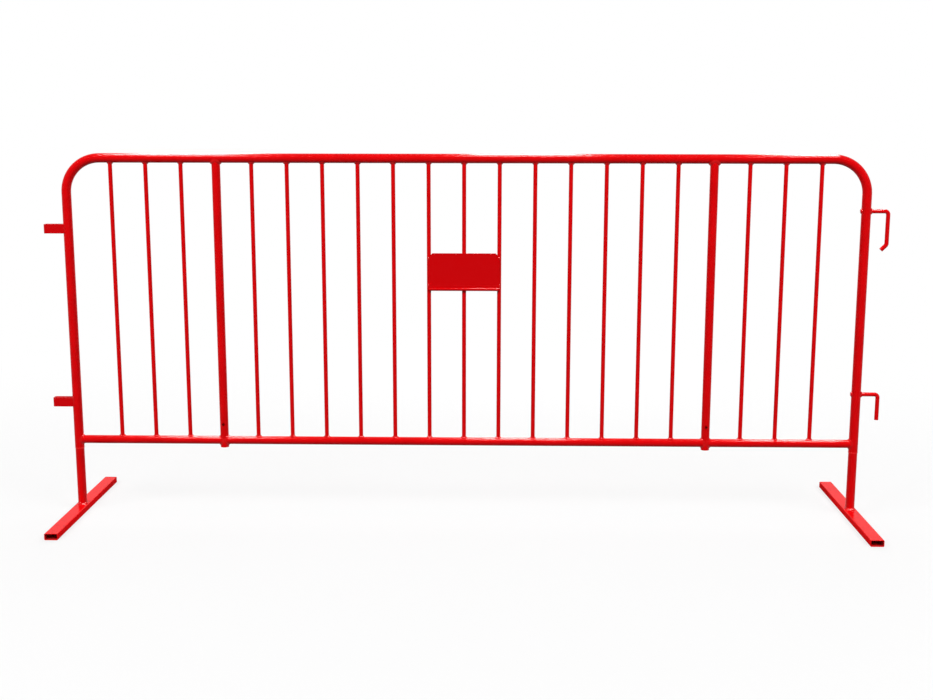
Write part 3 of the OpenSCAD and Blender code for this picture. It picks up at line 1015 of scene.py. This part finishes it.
class BARRIER_OT_legs(Build, Operator):
    """Turns the two legs, with the shoulder that carries the post"""

    bl_idname = "barrier.legs"
    bl_label = "Legs"

    def execute(self, context):
        sizes, layout = plan(context)
        leg, stub, wall = layout.leg_r, layout.stub_r, sizes.leg_wall
        low, shoulder_z, half = sizes.foot_height - SINK, layout.shoulder_z, sizes.shoulder_bead / 2
        shoulder = []
        for i in range(ROD_BEND_STEPS + 1):
            turn = pi * i / ROD_BEND_STEPS
            swell = sizes.shoulder_swell * sin(turn)
            shoulder.append((leg + swell, shoulder_z - half - half * cos(turn)))
        outside = [(leg, low), *shoulder, (stub, shoulder_z), (stub, sizes.leg_top)]
        bore = [(stub - wall, sizes.leg_top), (stub - wall, shoulder_z - wall)]
        bore += [(leg - wall, shoulder_z - 2 * wall), (leg - wall, low)]
        # The shoulder ring's faces get the lighter red: rubbed wear and a painted highlight
        finishes = [PAINT] + [RUBBED_HIGHLIGHT] * len(shoulder) + [PAINT] * 2 + [BORE] * len(bore)
        for name, side in SIDES:
            foot = X * side * sizes.post_x
            rings = [circle(foot + Z * z, X, Y, r, TUBE_SIDES) for r, z in outside + bore]
            shell = Shell().skin(rings, finishes, closed=True)
            piece = make_piece(shell, name + "_leg", name + "_foot", LEG, name + "_leg_tube")
            cut(piece, self.slot(foot + Z * sizes.screw_height, sizes, stub))
        return DONE

    def slot(self, centre, sizes, stub):
        """The slot that a screw's point runs in as the foot turns."""
        wall, half = sizes.leg_wall, sizes.screw_point + sizes.slot_gap
        half_turn = sizes.foot_turn + asin(half / (stub - wall))
        inner, outer = stub - 2 * wall, stub + wall
        corners = ((inner, -half), (outer, -half), (outer, half), (inner, half))
        rings = []
        for i in range(BEND_STEPS + 1):
            turn = QUARTER + half_turn * (2 * i / BEND_STEPS - 1)
            out = X * cos(turn) + Y * sin(turn)
            rings.append([centre + out * radius + Z * height for radius, height in corners])
        return Shell().capped(rings)


class BARRIER_OT_foot_bars(Build, Operator):
    """Makes the two rectangular foot bars with open ends"""

    bl_idname = "barrier.foot_bars"
    bl_label = "Foot bars"

    def execute(self, context):
        sizes = context.scene.barrier_sizes
        half, wall = sizes.foot_length / 2, sizes.foot_wall
        edges = edge_profile(sizes.foot_rim)

        def outline(x, y, shrink):
            width, height = sizes.foot_width - 2 * shrink, sizes.foot_height - 2 * shrink
            points = rounded_rectangle(width, height, sizes.foot_corner - shrink)
            return [Vector((x + px, y, sizes.foot_height / 2 + pz)) for px, pz in points]

        finishes = [PAINT] * (3 * len(edges) - 1) + [BORE] + [PAINT] * len(edges)
        for name, side in SIDES:
            x = side * sizes.post_x
            rings = [outline(x, back - half, inset) for inset, back in edges]
            rings += [outline(x, half - back, inset) for inset, back in edges[::-1]]
            rings += [outline(x, half - back, wall - inset) for inset, back in edges]
            rings += [outline(x, back - half, wall - inset) for inset, back in edges[::-1]]
            shell = Shell().skin(rings, finishes, closed=True)
            make_piece(shell, name + "_bar_foot", name + "_foot", FOOT, name + "_foot_bar")
        return DONE


class BARRIER_OT_screws(Build, Operator):
    """Makes the round-headed retaining screws at the back of the posts"""

    bl_idname = "barrier.screws"
    bl_label = "Retaining screws"

    def execute(self, context):
        sizes, layout = plan(context)
        seat, head, rim = layout.frame_r, sizes.screw_head, sizes.socket_rim
        height, band = sizes.screw_head_height, sizes.screw_head_band
        shank, point = sizes.screw_shank, sizes.screw_point
        shank_end = layout.stub_r + sizes.slot_gap - seat
        point_end = layout.stub_r - sizes.leg_wall - sizes.point_reach - seat
        profile = [(point, point_end), (point, shank_end), (shank, shank_end), (shank, SINK), (head, SINK)]
        for i in range(DOME_STEPS + 1):
            turn = QUARTER * i / DOME_STEPS
            profile.append((rim + (head - rim) * cos(turn), band + (height - band) * sin(turn)))
        shell = Shell()
        for _, side in SIDES:
            base = Vector((side * sizes.post_x, seat, sizes.screw_height))
            rings = [circle(base + Y * up, X, Z, r, SCREW_SIDES) for r, up in profile]
            for depth in (0.0, sizes.socket_depth):
                hexagon = []
                for turn in turns(SCREW_SIDES):
                    out = X * cos(turn) + Z * sin(turn)
                    reach = sizes.screw_key / 2 / cos(turn % HEX_TURN - HEX_TURN / 2)
                    hexagon.append(base + Y * (height - depth) + out * reach)
                rings.append(hexagon)
            shell.capped(rings)
        name, node = "round_head_screws", "retaining_screws"
        make_piece(shell, name, "frame", SCREW, node, SCREW_SHARP_EDGE)
        return DONE


class BARRIER_OT_tube_welds(Build, Operator):
    """Lays the welds that join the bars, rails and receivers"""

    bl_idname = "barrier.tube_welds"
    bl_label = "Tube welds"

    def execute(self, context):
        sizes, layout = plan(context)
        frame_r, rail_r, bar_r = layout.frame_r, layout.rail_r, layout.bar_r
        top, rail = Z * layout.top_z, Z * sizes.rail_height
        bars = Shell()
        for index, x in enumerate(layout.bar_places):
            bar, leg = X * x, sizes.bar_weld
            saddle_weld(bars, bar + top, -Z, X, bar_r, frame_r, leg, index * TOP_WELD_SHIFT)
            saddle_weld(bars, bar + rail, Z, X, bar_r, rail_r, leg, index * RAIL_WELD_SHIFT + 1)
        make_piece(bars, "bar_welds", "frame", WELD)
        tubes = Shell()
        for _, side in SIDES:
            receiver, radius = X * side * sizes.receiver_x, sizes.receiver_radius
            saddle_weld(tubes, receiver + top, -Z, X, radius, frame_r, sizes.tube_weld, side)
            leg = sizes.rail_weld
            for way in (-1, 1):
                seed = 3 * side + way
                saddle_weld(tubes, receiver + rail, X * way, Z, rail_r, radius, leg, seed)
            post = X * side * sizes.post_x
            saddle_weld(tubes, post + rail, X * -side, Z, rail_r, frame_r, leg, 5 * side)
        make_piece(tubes, "rail_welds", "frame", WELD)
        return DONE


class BARRIER_OT_fitting_welds(Build, Operator):
    """Lays the welds that join the hooks, the loops and the plate"""

    bl_idname = "barrier.fitting_welds"
    bl_label = "Fitting welds"

    def execute(self, context):
        sizes, layout = plan(context)
        hooks, loops, tacks = Shell(), Shell(), Shell()
        radius = sizes.hook_radius
        for index, z in enumerate((sizes.upper_hook_height, sizes.lower_hook_height)):
            arm = Vector((sizes.post_x, 0, z))
            for way, leg in ((1, sizes.hook_weld), (-1, sizes.nub_weld)):
                seed = 4 * index + way
                saddle_weld(hooks, arm, X * way, Z, radius, layout.frame_r, leg, seed)
        make_piece(hooks, "hook_welds", "frame", WELD)
        half, outer = sizes.strap_height / 2, sizes.loop_width / 2
        inner = outer - sizes.strap_thickness
        for index, z in enumerate((sizes.upper_loop_height, sizes.lower_loop_height)):
            for _, side in SIDES:
                places = []
                for y, up in ((inner, -half), (outer, -half), (outer, half), (inner, half)):
                    x = -sizes.post_x - saddle(layout.frame_r + sizes.frame_wall / 2, y)
                    places.append(Vector((x, side * y, z + up)))
                bead(loops, places, sizes.strap_weld, index + side)
        make_piece(loops, "loop_welds", "frame", WELD)
        tack = sizes.plate_tack
        low = sizes.plate_top - sizes.plate_height + sizes.tack_rise
        high = sizes.plate_top - sizes.plate_corner - tack
        y = sizes.plate_thickness / 2 - sizes.plate_front
        for _, side in SIDES:
            for z in (low, high):
                place = Vector((side * sizes.bar_pitch, y, z))
                bead(tacks, [place - Z * tack, place + Z * tack], tack / 2, side + z)
        make_piece(tacks, "plate_tacks", "frame", WELD)
        return DONE


class BARRIER_OT_foot_welds(Build, Operator):
    """Lays the welds that join the legs to the feet"""

    bl_idname = "barrier.foot_welds"
    bl_label = "Foot welds"

    def execute(self, context):
        sizes, layout = plan(context)
        room = sizes.foot_width / 2 - layout.leg_r - sizes.weld_margin
        for name, side in SIDES:
            shell = Shell()
            centre = Vector((side * sizes.post_x, 0, sizes.foot_height))
            foot_weld(shell, centre, layout.leg_r, sizes.foot_weld, room, 2 * side)
            make_piece(shell, name + "_leg_weld", name + "_foot", WELD)
        return DONE


class BARRIER_OT_stage(Build, Operator):
    """Sets the pale floor, the soft light and the camera"""

    bl_idname = "barrier.stage"
    bl_label = "Stage"

    def execute(self, context):
        stage = context.scene.barrier_stage
        context.scene.view_settings.view_transform = "Standard"
        self.sky(context, stage)
        self.floor(stage)
        self.lamps(stage)
        self.camera(context, stage)
        return DONE

    def sky(self, context, stage):
        """Dim light from all round, which is seen as white."""
        world = bpy.data.worlds.new("studio")
        context.scene.world = world
        tree = empty_tree(world)
        lights = []
        for strength in (stage.sky, 1.0):
            light = add_node(tree, "ShaderNodeBackground", {"Color": WHITE, "Strength": strength})
            lights.append(light.outputs["Background"])
        add_node(tree, "ShaderNodeOutputWorld", {"Surface": mix_shaders(tree, seen_rays(tree), *lights)})

    def floor(self, stage):
        """A pale floor that keeps the object's shadow and fades into plain white farther off."""
        mesh = bpy.data.meshes.new("floor")
        work = bmesh.new()
        bmesh.ops.create_grid(work, x_segments=FLOOR_STEPS, y_segments=FLOOR_STEPS, size=FLOOR_HALF)
        work.to_mesh(mesh)
        work.free()
        piece = add_object("floor", mesh)
        piece.location.z = CAD_BOX[0].z - SINK
        pale = bpy.data.materials.new("pale_floor")
        mesh.materials.append(pale)
        tree = empty_tree(pale)
        seen = seen_rays(tree)
        lift = calculate(tree, "MULTIPLY", seen, stage.floor_lift)
        matt = add_node(tree, "ShaderNodeBsdfDiffuse", {"Color": stage.floor}).outputs["BSDF"]
        glow = add_node(tree, "ShaderNodeEmission", {"Strength": lift}).outputs["Emission"]
        near = add_node(tree, "ShaderNodeAddShader", {0: matt, 1: glow}).outputs["Shader"]
        far = add_node(tree, "ShaderNodeEmission", {"Strength": seen}).outputs["Emission"]
        place = add_node(tree, "ShaderNodeTexCoord").outputs["Object"]
        reach = add_node(tree, "ShaderNodeVectorMath", {0: place}, operation="LENGTH").outputs["Value"]
        fade = map_range(tree, reach, FLOOR_FADE, 0.0, 1.0, "SMOOTHSTEP")
        add_node(tree, "ShaderNodeOutputMaterial", {"Surface": mix_shaders(tree, fade, near, far)})

    def lamps(self, stage):
        """Soft boxes that are kept out of the gloss, and ceiling panels that are seen only there."""
        for name, place, size in LAMPS:
            box = self.soft_box(name, place, LAMP_AIM, size, getattr(stage, name + "_power"))
            box.visible_glossy = False
        power = stage.panel_glow * CEILING_SIZE[0] * CEILING_SIZE[1]
        for name, x in CEILING_PLACES:
            place = Vector((x, 0, CEILING_HEIGHT))
            panel = self.soft_box("ceiling_" + name, place, place - Z, CEILING_SIZE, power)
            panel.visible_diffuse = False

    def soft_box(self, name, place, aim, size, power):
        """A rectangular lamp that the camera doesn't see."""
        data = bpy.data.lights.new(name, "AREA")
        data.shape = "RECTANGLE"
        data.size, data.size_y = size
        data.energy = power
        lamp = add_object(name, data)
        lamp.location = place
        lamp.rotation_euler = (aim - place).to_track_quat("-Z", "Y").to_euler()
        lamp.visible_camera = False
        return lamp

    def camera(self, context, stage):
        """The photograph's view."""
        data = bpy.data.cameras.new("camera")
        data.lens = stage.lens
        data.sensor_width = SENSOR_WIDTH
        data.sensor_fit = "HORIZONTAL"
        camera = add_object("camera", data)
        turn = Matrix.Rotation(stage.yaw, 4, "Z")
        tilt = Matrix.Rotation(QUARTER - stage.pitch, 4, "X")
        roll = Matrix.Rotation(stage.roll, 4, "Z")
        camera.matrix_world = Matrix.Translation(stage.camera) @ turn @ tilt @ roll
        context.scene.camera = camera


PIECE_OPERATORS = (
    BARRIER_OT_frame_tube,
    BARRIER_OT_bottom_rails,
    BARRIER_OT_receivers,
    BARRIER_OT_infill_bars,
    BARRIER_OT_sign_plate,
    BARRIER_OT_loops,
    BARRIER_OT_hooks,
    BARRIER_OT_legs,
    BARRIER_OT_foot_bars,
    BARRIER_OT_screws,
    BARRIER_OT_tube_welds,
    BARRIER_OT_fitting_welds,
    BARRIER_OT_foot_welds,
    BARRIER_OT_stage,
)
GROUPS = (
    ("barrier_sizes", BarrierSizes),
    ("barrier_finish", BarrierFinish),
    ("barrier_stage", BarrierStage),
)


class BARRIER_PT_panel(Panel):
    """Lists the barrier's pieces and its stage"""

    bl_idname = "BARRIER_PT_panel"
    bl_label = "Barrier panel"
    bl_space_type = "VIEW_3D"
    bl_region_type = "UI"
    bl_category = "Barrier"

    def draw(self, context):
        for kind in PIECE_OPERATORS:
            self.layout.operator(kind.bl_idname)
        for name, group in GROUPS:
            box = self.layout.box()
            for key in group.__annotations__:
                box.prop(getattr(context.scene, name), key)


def register():
    for name, group in GROUPS:
        bpy.utils.register_class(group)
        setattr(bpy.types.Scene, name, PointerProperty(type=group))
    for kind in (*PIECE_OPERATORS, BARRIER_PT_panel):
        bpy.utils.register_class(kind)


def unregister():
    for kind in reversed((*PIECE_OPERATORS, BARRIER_PT_panel)):
        bpy.utils.unregister_class(kind)
    for name, group in reversed(GROUPS):
        delattr(bpy.types.Scene, name)
        bpy.utils.unregister_class(group)


def main():
    register()
    for kind in PIECE_OPERATORS:
        getattr(bpy.ops.barrier, kind.bl_idname.split(".")[1])()
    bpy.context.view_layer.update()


if __name__ == "__main__":
    main()
